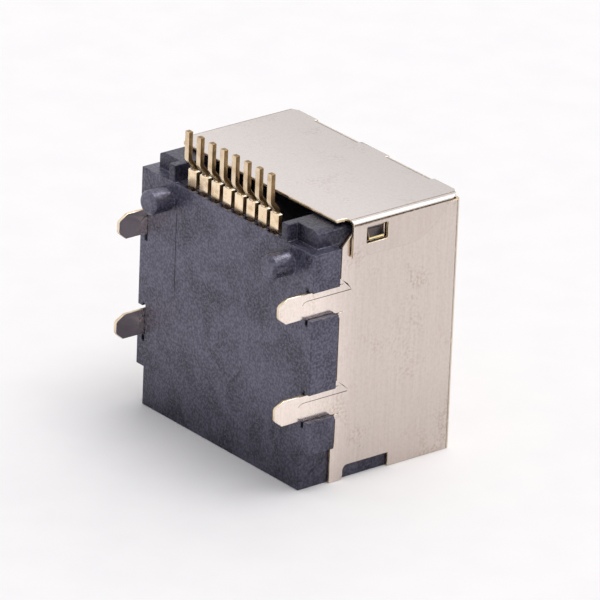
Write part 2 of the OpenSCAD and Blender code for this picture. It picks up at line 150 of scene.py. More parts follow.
class Graph:
    """The node tree of a material or of the room, with short ways to add nodes and join them."""

    def __init__(self, block: Material | bpy.types.World) -> None:
        """Starts an empty tree.

        Args:
            block: The material or the world that the tree belongs to.
        """
        block.use_nodes = True
        self.block = block
        self.tree = block.node_tree
        self.tree.nodes.clear()

    @cached_property
    def place(self) -> NodeSocket:
        """The place on the piece, in its own coordinates."""
        return self.add("ShaderNodeTexCoord").outputs["Object"]

    @cached_property
    def axes(self) -> "bpy.types.NodeOutputs":
        """The place on the piece, split into X, Y and Z."""
        return self.add("ShaderNodeSeparateXYZ", {0: self.place}).outputs

    def add(self, kind: str, inputs: dict[str | int, Value] | None = None,
            **settings: object) -> bpy.types.Node:
        """Adds a node.

        Args:
            kind: Blender's type name of the node.
            inputs: What goes into its sockets, by name or number: a value, or another node's output.
            **settings: The node's own settings, such as an operation.

        Returns:
            The new node.
        """
        node = self.tree.nodes.new(kind)
        for name, value in settings.items():
            setattr(node, name, value)
        for name, value in (inputs or {}).items():
            if isinstance(value, NodeSocket):
                self.tree.links.new(value, node.inputs[name])
            elif isinstance(value, tuple) and node.inputs[name].type == "RGBA":
                node.inputs[name].default_value = (*value, 1.0)
            else:
                node.inputs[name].default_value = value
        return node

    def math(self, operation: str, *values: Value) -> NodeSocket:
        """The result of one of the Math node's operations on its numbers or sockets, in order."""
        return self.add("ShaderNodeMath", dict(enumerate(values)), operation=operation).outputs[0]

    def times(self, *factors: Value) -> NodeSocket:
        """The product of two or more numbers or sockets."""
        return reduce(partial(self.math, "MULTIPLY"), factors)

    def plus(self, *parts: Value) -> NodeSocket:
        """The sum of two or more numbers or sockets."""
        return reduce(partial(self.math, "ADD"), parts)

    def scaled(self, colour: Value, factor: Value) -> NodeSocket:
        """A colour times a factor."""
        return self.add("ShaderNodeVectorMath", {0: colour, "Scale": factor}, operation="SCALE").outputs[0]

    def blend(self, share: Value, first: Value, second: Value) -> NodeSocket:
        """The first colour mixed with a share of the second one."""
        return self.add("ShaderNodeMix", {0: share, 6: first, 7: second}, data_type="RGBA").outputs[2]

    def ramp(self, value: NodeSocket, low: float, high: float, at_low: float = 0.0,
             at_high: float = 1.0) -> NodeSocket:
        """Maps a value smoothly, so that low gives at_low and high gives at_high, and no more past them."""
        inputs = {"Value": value, "From Min": low, "From Max": high, "To Min": at_low, "To Max": at_high}
        return self.add("ShaderNodeMapRange", inputs, interpolation_type="SMOOTHSTEP").outputs["Result"]

    def pick(self, share: NodeSocket, off: float, on: float) -> NodeSocket:
        """The number off where a share is 0, on where it is 1, and what lies between."""
        return self.ramp(share, 0.0, 1.0, off, on)

    def zone(self, axis: str, low: float, high: float, at_low: float = 0.0,
             at_high: float = 1.0) -> NodeSocket:
        """Maps a stretch of one axis as ramp does, in millimetres from the board face or port face."""
        shift = BOARD_Y if axis == "Y" else 0.0
        return self.ramp(self.axes[axis], (low + shift) * MM, (high + shift) * MM, at_low, at_high)

    def noise(self, size: float, grain: Grain = Grain.EVEN, detail: float = 2.0, seed: float = 0.0,
              distortion: float = 0.0) -> NodeSocket:
        """Noise on the piece's own coordinates.

        Args:
            size: The size of its patches, in millimetres.
            grain: How its patches are drawn out.
            detail: How many finer layers it has.
            seed: The place in the noise, so that two patterns differ.
            distortion: How much the noise is swirled.

        Returns:
            The noise, from 0 to 1.
        """
        shift = tuple(seed * step for step in NOISE_SHIFT)
        scale = tuple(part / (size * MM) for part in grain.value)
        inputs = {"Vector": self.place, "Location": shift, "Scale": scale}
        mapped = self.add("ShaderNodeMapping", inputs).outputs[0]
        inputs = {"Vector": mapped, "Scale": 1.0, "Detail": detail, "Distortion": distortion}
        return self.add("ShaderNodeTexNoise", inputs).outputs["Fac"]

    def bump(self, height: NodeSocket, depth: float, strength: Value = 1.0,
             under: NodeSocket | None = None) -> NodeSocket:
        """A bump from a height pattern.

        Args:
            height: The pattern, from 0 to 1.
            depth: The height in millimetres between 0 and 1 of the pattern.
            strength: How much of it shows.
            under: Another bump that lies under this one.

        Returns:
            The bumped normal.
        """
        inputs: dict[str | int, Value] = {"Height": height, "Distance": depth * MM, "Strength": strength}
        if under is not None:
            inputs["Normal"] = under
        return self.add("ShaderNodeBump", inputs).outputs[0]

    def finish(self, **sockets: Value) -> Material:
        """Ends a material's tree in a Principled shader.

        Args:
            **sockets: What goes into the shader, with underscores for the spaces in the sockets' names.

        Returns:
            The finished material.
        """
        inputs = {name.replace("_", " "): value for name, value in sockets.items()}
        shader = self.add("ShaderNodeBsdfPrincipled", inputs)
        self.add("ShaderNodeOutputMaterial", {"Surface": shader.outputs[0]})
        return self.block


@dataclass(frozen=True)
class Finish(ABC):
    """A finish that some pieces share."""

    name: str

    def start(self) -> Graph:
        """Starts a new material's tree."""
        return Graph(bpy.data.materials.new(self.name))

    @abstractmethod
    def material(self) -> Material:
        """Makes the finish's material."""


@dataclass(frozen=True)
class PaintedLightFade:
    """Painted light or shade: a slow change of tone along one axis, from 1 at its start, in millimetres, to
    its tone at its end.
    """

    axis: str
    start: float
    end: float
    tone: float

    def factor(self, graph: Graph) -> NodeSocket:
        """What the tone is multiplied by, in a material's tree."""
        return graph.zone(self.axis, self.start, self.end, 1.0, self.tone)


@dataclass(frozen=True)
class NickelSheet(Finish):
    """Satin nickel on rolled steel: rolling lines, faint smudges, rubbed places, painted light and shade."""

    name: str = "nickel_sheet"
    grain: Grain = Grain.ALONG_Z
    colour: Colour = (0.69, 0.615, 0.568)
    smudge: Colour = (0.53, 0.44, 0.375)
    roughness: Span = (0.15, 0.23)
    line_size: float = 0.09
    line_depth: float = 0.0011
    line_tone: Ramp = (0.3, 0.75, 0.0, 0.22)
    line_rough: Ramp = (0.3, 0.7, 0.0, 0.05)
    cloud_size: float = 2.6
    cloud_rough: Span = (0.35, 0.65)
    speck_size: float = 0.16
    speck_tone: Ramp = (0.35, 0.7, 0.0, 0.24)
    rubbed_clouds: Span = (0.52, 0.68)
    rubbed_specks: Span = (0.42, 0.7)
    rubbed_tone: float = 0.7
    pit_depth: float = 0.00132
    pit_strength: float = 0.7
    # Painted shade darker towards the port face, and painted light brighter towards the board face and over
    # the tabs
    fades: tuple[PaintedLightFade, ...] = (PaintedLightFade("Z", 7.0, 0.0, 0.87), PaintedLightFade("Y", 4.2, -0.4, 1.42))

    def material(self) -> Material:
        """Makes the finish's material."""
        graph = self.start()
        lines = graph.noise(self.line_size, self.grain, detail=3.0)
        clouds = graph.noise(self.cloud_size, detail=4.0, seed=3.0, distortion=0.6)
        specks = graph.noise(self.speck_size, detail=3.0, seed=11.0)
        rubbed = graph.times(graph.ramp(clouds, *self.rubbed_clouds), graph.ramp(specks, *self.rubbed_specks))
        tone = graph.plus(graph.times(rubbed, self.rubbed_tone), graph.ramp(lines, *self.line_tone),
                          graph.ramp(specks, *self.speck_tone))
        colour = graph.blend(tone, self.colour, self.smudge)
        # The painted light and shade of the fades
        for painted_light_fade in self.fades:
            colour = graph.scaled(colour, painted_light_fade.factor(graph))
        rough = graph.plus(graph.ramp(clouds, *self.cloud_rough, *self.roughness),
                           graph.ramp(lines, *self.line_rough))
        pitted = graph.bump(specks, self.pit_depth, self.pit_strength, graph.bump(lines, self.line_depth))
        return graph.finish(Base_Color=colour, Metallic=1.0, Roughness=rough, Normal=pitted)


@dataclass(frozen=True)
class ShearedEdge(Finish):
    """The cut edge of the sheet: bare metal with a tan and brown tinge and the marks of the shear."""

    name: str = "sheared_edge"
    bright: Colour = (0.88, 0.74, 0.54)
    dark: Colour = (0.42, 0.28, 0.17)
    roughness: Span = (0.24, 0.40)
    mark_size: float = 0.07
    mark_depth: float = 0.006
    mark_tone: Ramp = (0.2, 0.8, 0.4, 1.0)
    mark_rough: Span = (0.25, 0.75)
    patch_size: float = 0.7
    patch_tone: Ramp = (0.35, 0.75, 0.1, 0.8)

    def material(self) -> Material:
        """Makes the finish's material."""
        graph = self.start()
        marks = graph.noise(self.mark_size, detail=3.0)
        patches = graph.noise(self.patch_size, seed=5.0)
        share = graph.times(graph.ramp(patches, *self.patch_tone), graph.ramp(marks, *self.mark_tone))
        colour = graph.blend(share, self.bright, self.dark)
        rough = graph.ramp(marks, *self.mark_rough, *self.roughness)
        worn = graph.bump(marks, self.mark_depth)
        return graph.finish(Base_Color=colour, Metallic=1.0, Roughness=rough, Normal=worn)


@dataclass(frozen=True)
class Seam:
    """A fine parting line that runs up the board face, in millimetres.

    It fades in over a stretch before from_z and out over one after to_z. Across its width and into the
    plastic it fades between the two distances given.
    """

    x: float = -4.35
    from_z: float = 8.0
    to_z: float = 12.2
    fade_in: float = 0.6
    fade_out: float = 0.1
    half_width: Span = (0.015, 0.03)
    skin: Span = (0.05, 0.1)
    colour: Colour = (0.004, 0.004, 0.006)
    shine: float = 0.1

    def mask(self, graph: Graph) -> NodeSocket:
        """Finds where the line is.

        Args:
            graph: The material's tree.

        Returns:
            A socket that is 1 on the line and 0 elsewhere.
        """
        across = graph.math("ABSOLUTE", graph.math("SUBTRACT", graph.axes["X"], self.x * MM))
        inside, outside = self.half_width
        return graph.times(
            graph.ramp(across, inside * MM, outside * MM, 1.0, 0.0),
            graph.zone("Z", self.from_z - self.fade_in, self.from_z),
            graph.zone("Z", self.to_z, self.to_z + self.fade_out, 1.0, 0.0),
            graph.zone("Y", *self.skin, 1.0, 0.0),
        )


@dataclass(frozen=True)
class MouldedPlastic(Finish):
    """Black glass-filled plastic with a fine grain, light specks and flow clouds.

    Three places differ: the rear above the board plate, drawn darker and less shiny as painted shade, the
    posts that stand past the board face, and the parting line where there is one.
    """

    colour: Colour = (0.008, 0.008, 0.014)
    light: Colour = (0.092, 0.090, 0.130)
    tint: Colour = (0.80, 0.77, 1.0)
    roughness: Span = (0.24, 0.36)
    gloss: Span = (0.62, 1.0)
    grain_size: float = 0.12
    grain_depth: float = 0.022
    speck_size: float = 0.144
    speck_range: Span = (0.35, 0.7)
    speck_tone: float = 0.65
    cloud_size: float = 2.4
    cloud_range: Span = (0.32, 0.68)
    cloud_rough: Span = (0.3, 0.7)
    cloud_tone: Span = (0.0, 0.5)
    cloud_shine: Span = (0.88, 1.15)
    drag_size: float = 0.22
    drag_depth: float = 0.0066
    drag_strength: float = 0.5
    drag_tone: Ramp = (0.45, 0.8, 0.0, 0.12)
    # Painted shade: above the board plate the plastic is drawn darker and less shiny
    plate_z: Span = (13.9, 14.05)
    rear_gloss: float = 0.62
    rear_painted_shade: float = 0.45
    post_y: Span = (-0.12, -0.06)
    post_tone: float = 0.6
    post_shine: float = 1.5
    post_grain: float = 0.45
    # Painted shade: darker and less shiny towards the port face
    painted_light_fade: PaintedLightFade = PaintedLightFade("Z", 5.5, 0.0, 0.55)
    seam: Seam | None = None

    def material(self) -> Material:
        """Makes the finish's material."""
        graph = self.start()
        grain = graph.noise(self.grain_size, detail=3.0)
        clouds = graph.noise(self.cloud_size, detail=4.0, seed=7.0, distortion=0.8)
        drag = graph.noise(self.drag_size, Grain.FLOWN, detail=3.0, seed=13.0)
        specks = graph.ramp(graph.noise(self.speck_size, seed=21.0), *self.speck_range)
        board = graph.zone("Z", *self.plate_z, 1.0, 0.0)
        post = graph.zone("Y", *self.post_y, 1.0, 0.0)
        painted_light_fade = self.painted_light_fade.factor(graph)
        tone = graph.plus(graph.ramp(clouds, *self.cloud_range, *self.cloud_tone),
                          graph.times(specks, self.speck_tone), graph.ramp(drag, *self.drag_tone))
        # Painted shade on the rear and on the lower board face
        tone = graph.times(tone, graph.pick(board, self.rear_painted_shade, 1.0), painted_light_fade,
                           graph.pick(post, 1.0, self.post_tone))
        shine = graph.times(graph.pick(specks, *self.gloss), graph.pick(board, self.rear_gloss, 1.0), painted_light_fade,
                            graph.ramp(clouds, *self.cloud_range, *self.cloud_shine),
                            graph.pick(post, 1.0, self.post_shine))
        colour = graph.blend(tone, self.colour, self.light)
        rough = graph.ramp(clouds, *self.cloud_rough, *self.roughness)
        dragged = graph.bump(drag, self.drag_depth, self.drag_strength)
        normal = graph.bump(grain, self.grain_depth, graph.pick(post, 1.0, self.post_grain), dragged)
        if self.seam is not None:
            line = self.seam.mask(graph)
            colour = graph.blend(line, colour, self.seam.colour)
            shine = graph.times(shine, graph.pick(line, 1.0, self.seam.shine))
        return graph.finish(Base_Color=colour, Roughness=rough, Normal=normal, Specular_IOR_Level=shine,
                            Specular_Tint=self.tint)


@dataclass(frozen=True)
class GoldPlate(Finish):
    """Thin gold over nickel on stamped strip, a little uneven, with fine drawing lines and a painted
    highlight on its teeth.
    """

    name: str = "gold_plate"
    colour: Colour = (0.79, 0.645, 0.465)
    dull: Colour = (0.55, 0.38, 0.21)
    roughness: Span = (0.16, 0.32)
    line_size: float = 0.05
    line_depth: float = 0.0016
    cloud_size: float = 0.5
    cloud_tone: Ramp = (0.35, 0.75, 0.0, 0.8)
    cloud_rough: Span = (0.3, 0.7)
    # Painted highlight: below the tails, on the teeth and all within, the gold is drawn brighter
    tooth: PaintedLightFade = PaintedLightFade("Z", 15.2, 14.95, 1.26)

    def material(self) -> Material:
        """Makes the finish's material."""
        graph = self.start()
        lines = graph.noise(self.line_size, Grain.ALONG_Z, detail=3.0)
        clouds = graph.noise(self.cloud_size, detail=3.0, seed=9.0)
        colour = graph.blend(graph.ramp(clouds, *self.cloud_tone), self.colour, self.dull)
        # The painted highlight of the teeth
        colour = graph.scaled(colour, self.tooth.factor(graph))
        rough = graph.ramp(clouds, *self.cloud_rough, *self.roughness)
        drawn = graph.bump(lines, self.line_depth)
        return graph.finish(Base_Color=colour, Metallic=1.0, Roughness=rough, Normal=drawn)


@dataclass(frozen=True)
class TablePaper(Finish):
    """The plain pale floor: matt paper with a very faint mottle."""

    name: str = "table_paper"
    colour: Colour = (0.965, 0.952, 0.960)
    mottle: Colour = (0.945, 0.935, 0.945)
    mottle_size: float = 3.0
    mottle_range: Span = (0.3, 0.7)

    def material(self) -> Material:
        """Makes the finish's material."""
        graph = self.start()
        share = graph.ramp(graph.noise(self.mottle_size), *self.mottle_range)
        colour = graph.blend(share, self.colour, self.mottle)
        return graph.finish(Base_Color=colour, Roughness=1.0, Specular_IOR_Level=0.0)


@dataclass(frozen=True)
class CardCloth(Finish):
    """The cloth of a studio card: dark and matt, or lit from within."""

    colour: Colour
    roughness: float
    specular: float
    glow: float = 0.0

    def material(self) -> Material:
        """Makes the finish's material."""
        return self.start().finish(
            Base_Color=self.colour, Roughness=self.roughness, Specular_IOR_Level=self.specular,
            Emission_Color=WHITE, Emission_Strength=self.glow)


def arc(centre: Point, radius: float, start: float, end: float, steps: int = 6) -> list[Point]:
    """The points of an arc from one angle to another, in degrees, cut into some chords."""
    angles = [math.radians(start + (end - start) * k / steps) for k in range(steps + 1)]
    return [(centre[0] + radius * math.cos(a), centre[1] + radius * math.sin(a)) for a in angles]


def s_curve(start: Point, end: Point, steps: int = 6) -> list[Point]:
    """The points of a smooth step that leaves and arrives along the first axis."""
    (u, v), (du, dv) = start, (end[0] - start[0], end[1] - start[1])
    return [(u + du * t, v + dv * t * t * (3 - 2 * t)) for t in (k / steps for k in range(steps + 1))]


def loop_edges(bm: BMesh, plane: Plane, level: float, outline: Sequence[Point]) -> list[BMEdge]:
    """Draws a closed outline at a level of a plane, as edges in the outline's order."""
    verts = [bm.verts.new(plane.place(point, level)) for point in outline]
    return [bm.edges.new((a, b)) for a, b in zip(verts, verts[1:] + verts[:1], strict=True)]


def fill(bm: BMesh, plane: Plane, level: float, outline: Sequence[Point],
         holes: Iterable[Sequence[Point]] = (), part: SheetPart = SheetPart.PANEL) -> None:
    """Fills an outline with flat faces.

    Args:
        bm: The mesh that gets them.
        plane: The plane of the drawing.
        level: The plane's level.
        outline: The outer outline.
        holes: Outlines that stay open.
        part: The part of the sheet that they belong to.
    """
    before = set(bm.faces)
    edges = [edge for points in (outline, *holes) for edge in loop_edges(bm, plane, level, points)]
    made = bmesh.ops.triangle_fill(bm, use_beauty=True, use_dissolve=False, edges=edges)["geom"]
    inner = {e for f in made if isinstance(f, BMFace) for e in f.edges} - set(edges)
    # A set's order changes from run to run, so its edges are put in the mesh's own order
    bm.edges.index_update()
    inner = sorted(inner, key=lambda edge: edge.index)
    bmesh.ops.dissolve_limit(bm, angle_limit=FLAT, verts=[], edges=inner, use_dissolve_boundaries=False)
    # Rounded edges tear a face at its inward corners, so such a face is divided there
    bmesh.ops.connect_verts_concave(bm, faces=[f for f in bm.faces if f not in before])
    for face in [f for f in bm.faces if f not in before]:
        face.material_index = part.value


def near(value: float, target: float, slack: float = 0.002) -> bool:
    """Whether two lengths in millimetres are the same place."""
    return abs(value - target) < slack


def edges_along(bm: BMesh, plane: Plane, point: Point, low: float = -math.inf,
                high: float = math.inf) -> list[BMEdge]:
    """The edges that stand on a plane at one point of it.

    Args:
        bm: The mesh to look in.
        plane: The plane.
        point: The point of the plane.
        low: The lowest level that the edges may reach.
        high: The highest level that they may reach.

    Returns:
        Those edges.
    """
    first, second, level = plane.value
    slack = 0.01

    def stands(vert: BMVert) -> bool:
        """Whether a corner lies on the line through the point, between the two levels."""
        on_line = near(vert.co[first], point[0]) and near(vert.co[second], point[1])
        return on_line and low - slack < vert.co[level] < high + slack

    return [edge for edge in bm.edges if all(stands(vert) for vert in edge.verts)]


def into_frame(bm: BMesh) -> None:
    """Brings a mesh drawn in millimetres from the board face into the frame's metres."""
    bmesh.ops.translate(bm, verts=bm.verts, vec=(0.0, BOARD_Y, 0.0))
    bmesh.ops.scale(bm, verts=bm.verts, vec=(MM, MM, MM))


def add_object(name: str, data: bpy.types.ID) -> Object:
    """Adds an object with its data to the scene."""
    made = bpy.data.objects.new(name, data)
    bpy.context.scene.collection.objects.link(made)
    return made


def add_mesh(bm: BMesh, name: str, materials: Iterable[Material]) -> Object:
    """Adds an object to the scene from a drawn mesh.

    Args:
        bm: The drawn mesh, in the frame's metres, which is freed.
        name: The object's name.
        materials: Its materials, in the order of the faces' numbers.

    Returns:
        The object, at the origin, with its place in its mesh.
    """
    mesh = bpy.data.meshes.new(name)
    bm.to_mesh(mesh)
    bm.free()
    for material in materials:
        mesh.materials.append(material)
    return add_object(name, mesh)


@dataclass
class Piece(ABC):
    """What each sub-assembly of the jack shares: its name and the way it becomes objects."""

    name: str

    @abstractmethod
    def build(self) -> list[Object]:
        """Makes the sub-assembly's finished objects."""

    def enter(self, bm: BMesh, name: str, materials: Sequence[Material], slot: Slot, node: str) -> Object:
        """Enters a drawn mesh as a piece of the jack.

        Args:
            bm: The drawn mesh, in the frame's metres, which is freed.
            name: The object's name.
            materials: Its materials, in the order of the faces' numbers.
            slot: The record's slot of its finish; not used.
            node: The CAD node that it stands for.

        Returns:
            The object.
        """
        piece = add_mesh(bm, name, materials)
        for polygon in piece.data.polygons:
            polygon.use_smooth = True
        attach(piece, BODY)
        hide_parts(node)
        return piece

    def soften(self, piece: Object, width: float, angle: float) -> None:
        """Rounds a piece's sharp edges, by two faces each, and keeps its flat faces flat in the light.

        Args:
            piece: The object.
            width: The width of the rounding, in millimetres.
            angle: Edges sharper than this many degrees are rounded.
        """
        bevel = piece.modifiers.new("edges", "BEVEL")
        bevel.width = width * MM
        bevel.segments = 2
        bevel.limit_method = "ANGLE"
        bevel.angle_limit = math.radians(angle)
        bevel.profile = 0.5
        bevel.material = -1
        bevel.use_clamp_overlap = False
        level = piece.modifiers.new("shading", "WEIGHTED_NORMAL")
        level.mode = "FACE_AREA_WITH_ANGLE"
        level.weight = 50
        level.keep_sharp = False


SHEET_FINISHES: dict[SheetPart, NickelSheet] = {
    SheetPart.PANEL: NickelSheet(),
    # The cover is a brighter copy of the panel's nickel as painted light, and darker towards its far end as
    # painted shade
    SheetPart.COVER: NickelSheet("nickel_cover_painted_light", Grain.EVEN, (0.755, 0.69, 0.67), (0.64, 0.565, 0.53),
                                 fades=(PaintedLightFade("Y", 2.0, 10.5, 0.83),)),
    # A dark line along a bend's edge, a painted dark reflection
    SheetPart.BEND_LINE: NickelSheet("nickel_bend_painted_reflection", colour=(0.22, 0.16, 0.12), smudge=(0.80, 0.66, 0.50),
                                     cloud_size=0.35, speck_size=0.13),
    # The far chords of the long bend, bright and warm as a painted reflection
    SheetPart.WARM_BEND: NickelSheet("nickel_painted_warm_reflection", colour=(1.0, 0.90, 0.68), smudge=(0.80, 0.64, 0.42)),
    # Painted shade, dark, for the tabs' crease lines and the latch tongue
    SheetPart.CREASE: NickelSheet("nickel_painted_shade", colour=(0.13, 0.11, 0.11), smudge=(0.08, 0.065, 0.06)),
    SheetPart.FLAP: NickelSheet("nickel_flap", colour=(0.67, 0.592, 0.545)),
    # The latch tongue's last fold, bright as a painted highlight
    SheetPart.LATCH_LIP: NickelSheet("nickel_latch_lip_highlight", colour=(0.95, 0.84, 0.46),
                                     smudge=(0.85, 0.72, 0.36)),
}


@dataclass(frozen=True)
class PressRing:
    """One ring of the pressed field beside a crease.

    The first three values say how far it is drawn in from the field's outline, below, above and at its
    ends, and the last two how deep its foot and its top lie, as shares of the field's depth.
    """

    low: float = 0.0
    high: float = 0.0
    end: float = 0.0
    foot: float = 0.0
    top: float = 0.0


@dataclass
class FoldedShell(Piece):
    """The shell, folded from one sheet: far panel, side panels with solder tabs, lips, rear cover, flaps.

    It is drawn as the sheet's outer face, one half of it, mirrored and then given its thickness.
    """

    name: str = "shell_sheet"
    sheet: float = 0.2
    bend_r: float = 0.34
    fold_r: float = 0.6
    bend_steps: int = 9
    warm_steps: int = 6
    flap_line_steps: int = 2
    far_margin: float = 0.004
    panel_x: float = 7.08
    panel_y: float = 2.25
    panel_end: float = 14.7
    top_slope: float = 1.0
    leg_y: float = 2.0
    leg_len: float = 2.05
    leg_slope: float = 0.02
    leg_w: float = 0.92
    notch_y: float = 6.05
    notch_h: float = 0.82
    notch_r: float = 0.3
    relief_r: float = 0.15
    relief_steps: int = 8
    tab_reach: float = 1.96
    tab_w: float = 1.64
    tab_rise: float = 0.17
    tab_neck: float = 0.25
    # The corners of a tab's tip, from its end and from its upper or lower edge
    tab_upper: tuple[Point, ...] = ((0.609, 0.0), (0.08, 0.3), (0.0, 0.42))
    tab_lower: tuple[Point, ...] = ((0.0, 0.5), (0.08, 0.36), (0.525, 0.0))
    tabs_z: Span = (4.04, 9.98)
    crease_w: float = 0.92
    crease_rise: float = 0.76
    crease_depth: float = 0.022
    crease_len: float = 3.9
    crease_start: float = 1.5
    crease_line: float = 0.85
    crease_steps: int = 10
    crease_rings: tuple[PressRing, ...] = (
        PressRing(), PressRing(0.05, 0.05, 0.04, 0.0, 1.0), PressRing(0.25, 0.3, 0.16, 0.3, 0.7),
        PressRing(0.36, 0.44, 0.3, 0.45, 0.45))
    cover_y: float = 2.1
    cover_reach: float = 10.2
    # Along the cover's edge by the board: a small ear, the corner, and the relief beside the flap
    cover_ear: tuple[Point, ...] = ((2.5, 0.0), (2.58, -0.035), (2.7, -0.03), (2.78, 0.0))
    cover_corner: tuple[Point, ...] = ((-0.08, 0.0), (0.0, 0.06))
    cover_relief: tuple[Point, ...] = ((0.0, -0.3), (0.05, -0.22), (0.05, 0.0))
    corner_back: float = 0.34
    corner_cut: float = 0.3
    fold_from: float = 1.2
    fold_to: float = 5.0
    flap_y: float = 2.78
    flap_end: float = 9.5
    corner_y: float = 10.0
    flap_rise_y: float = 6.6
    flap_drop: float = 2.18
    flap_steps: int = 10
    # The flap's lower corner, from its edge by the board and its lower edge
    flap_corner: tuple[Point, ...] = ((0.0, 0.1), (0.03, 0.03), (0.1, 0.0))
    window_y: float = 3.7
    window_w: float = 1.46
    window_h: float = 0.96
    window_drop: float = 0.52
    window_r: float = 0.1
    window_steps: int = 3
    tongue_w: float = 1.05
    tongue_slot: float = 0.1
    tongue_low: float = 13.84
    tongue_top: float = 14.48
    tongue_out: float = 0.19
    # How far down and how far out each bend of the tongue lies, as shares of its length and its reach
    tongue_bends: tuple[Point, ...] = ((0.05, 0.02), (0.12, 0.12), (0.68, 0.95), (0.73, 1.0), (0.77, 0.99),
                                       (1.0, 0.84))
    lip_x: float = 3.95
    lip_w: float = 1.8
    lip_len: float = 1.3
    edge_round: float = 0.045
    edge_angle: float = 60.0

    def __post_init__(self) -> None:
        """Works out the places that other sizes give."""
        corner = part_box("shell")[1]
        self.cover_z = corner.z / MM
        self.flap_x = corner.x / MM
        # A little short of the solid's far face, so that the finished sheet stays inside the solid's box
        self.far_y = SHELL_REACH - self.far_margin
        self.far_bend = self.far_y - self.bend_r
        self.rear_bend = self.cover_z - self.bend_r
        self.fold_z = self.cover_z - self.fold_r
        self.panel_bend = self.panel_x - self.bend_r
        self.flap_bend = self.flap_x - self.bend_r
        self.crease_from = self.crease_start - self.tab_reach
        self.crease_to = self.crease_from + self.crease_len
        self.tongue_y = self.window_y + (self.window_w - self.tongue_w) / 2

    def tab_outline(self, z: float) -> list[Point]:
        """One solder tab, from its upper root to its lower root.

        Args:
            z: The height of the lower edge of its root.

        Returns:
            The outline's points, in Y and Z.
        """
        top = z + self.tab_w
        low = z + self.tab_rise
        relief = self.relief_r
        return [
            *arc((self.panel_y, top + relief), relief, 90, 270, self.relief_steps),
            *((back - self.tab_reach, top - down) for back, down in self.tab_upper),
            *((back - self.tab_reach, low + up) for back, up in self.tab_lower),
            *s_curve((-self.tab_neck, low), (self.tab_neck, z)),
            *arc((self.panel_y, z - relief), relief, 90, 270, self.relief_steps),
        ]

    def panel_outline(self) -> list[Point]:
        """A side panel with its two tabs, its leg and its notch.

        Returns:
            The outline's points, in Y and Z, from the far corner of the port edge on.
        """
        lower, upper = self.tabs_z
        foot_y = self.leg_y + self.leg_w
        return [
            (self.far_bend, 0.0),
            (self.far_bend, self.panel_end),
            (self.panel_y + self.top_slope, self.panel_end),
            (self.panel_y, self.panel_end - self.top_slope),
            *self.tab_outline(upper),
            *self.tab_outline(lower),
            (self.panel_y, self.leg_len),
            (self.leg_y, self.leg_len - self.leg_slope),
            (self.leg_y, 0.0),
            *arc((foot_y - self.notch_r, self.notch_r), self.notch_r, -90, 0),
            *arc((foot_y + self.notch_r, self.notch_h - self.notch_r), self.notch_r, 180, 90),
            (self.notch_y, self.notch_h),
            (self.notch_y, 0.0),
        ]

    def far_outline(self) -> list[Point]:
        """Half the far panel, with the gaps beside its lip and beside the cover's fold.

        Returns:
            The outline's points, in X and Z.
        """
        relief = self.relief_r
        lip_end = self.lip_x + self.lip_w
        return [
            (0.0, 0.0),
            (self.lip_x - relief, 0.0), (self.lip_x - relief, self.bend_r), (self.lip_x, self.bend_r),
            (lip_end, self.bend_r), (lip_end + relief, self.bend_r), (lip_end + relief, 0.0),
            (self.panel_bend, 0.0), (self.panel_bend, self.panel_end),
            (self.fold_to + relief, self.panel_end), (self.fold_to + relief, self.fold_z),
            (self.fold_to, self.fold_z), (self.fold_from, self.fold_z),
            (self.fold_from - relief, self.fold_z), (self.fold_from - relief, self.panel_end),
            (0.0, self.panel_end),
        ]

    def slot_outline(self) -> list[Point]:
        """The slot that frees the latch tongue on three sides.

        Returns:
            The outline's points, in Y and Z.
        """
        gap = self.tongue_slot
        end_y = self.tongue_y + self.tongue_w
        return [
            (self.tongue_y - gap, self.tongue_low - gap), (end_y + gap, self.tongue_low - gap),
            (end_y + gap, self.tongue_top), (end_y, self.tongue_top),
            (self.tongue_y, self.tongue_top), (self.tongue_y - gap, self.tongue_top),
        ]

    def cover_outline(self) -> list[Point]:
        """Half the rear cover, from the middle of its edge by the board.

        Returns:
            The outline's points, in X and Y.
        """
        corner = self.flap_bend - self.corner_back
        fold_y = self.far_y - self.fold_r
        return [
            (0.0, self.cover_y),
            *((x, self.cover_y + rise) for x, rise in self.cover_ear),
            *((corner + x, self.cover_y + y) for x, y in self.cover_corner),
            *((corner + x, self.flap_y + y) for x, y in self.cover_relief),
            (self.flap_bend, self.flap_y), (self.flap_bend, self.corner_y),
            (self.flap_bend - self.corner_cut, self.cover_reach), (self.fold_to, self.cover_reach),
            (self.fold_to, fold_y), (self.fold_from, fold_y),
            (self.fold_from, self.cover_reach), (0.0, self.cover_reach),
        ]

    def flap_outline(self) -> list[Point]:
        """A side flap, whose lower edge rises towards the far panel.

        Returns:
            The outline's points, in Y and Z.
        """
        low = self.cover_z - self.flap_drop
        length, tall = self.flap_end - self.flap_rise_y, self.rear_bend - low
        steps = [k / self.flap_steps for k in range(self.flap_steps + 1)]
        return [
            (self.flap_y, self.rear_bend),
            *((self.flap_y + y, low + up) for y, up in self.flap_corner),
            *((self.flap_rise_y + length * t, low + tall * t * t) for t in steps),
        ]

    def window_outline(self) -> list[Point]:
        """The round-cornered window in a flap.

        Returns:
            The outline's points, in Y and Z.
        """
        r = self.window_r
        left, right = self.window_y + r, self.window_y + self.window_w - r
        top = self.cover_z - self.window_drop - r
        low = self.cover_z - self.window_drop - self.window_h + r
        corners = (((left, top), 180), ((right, top), 90), ((right, low), 0), ((left, low), 270))
        return [p for centre, turn in corners for p in arc(centre, r, turn, turn - 90, self.window_steps)]

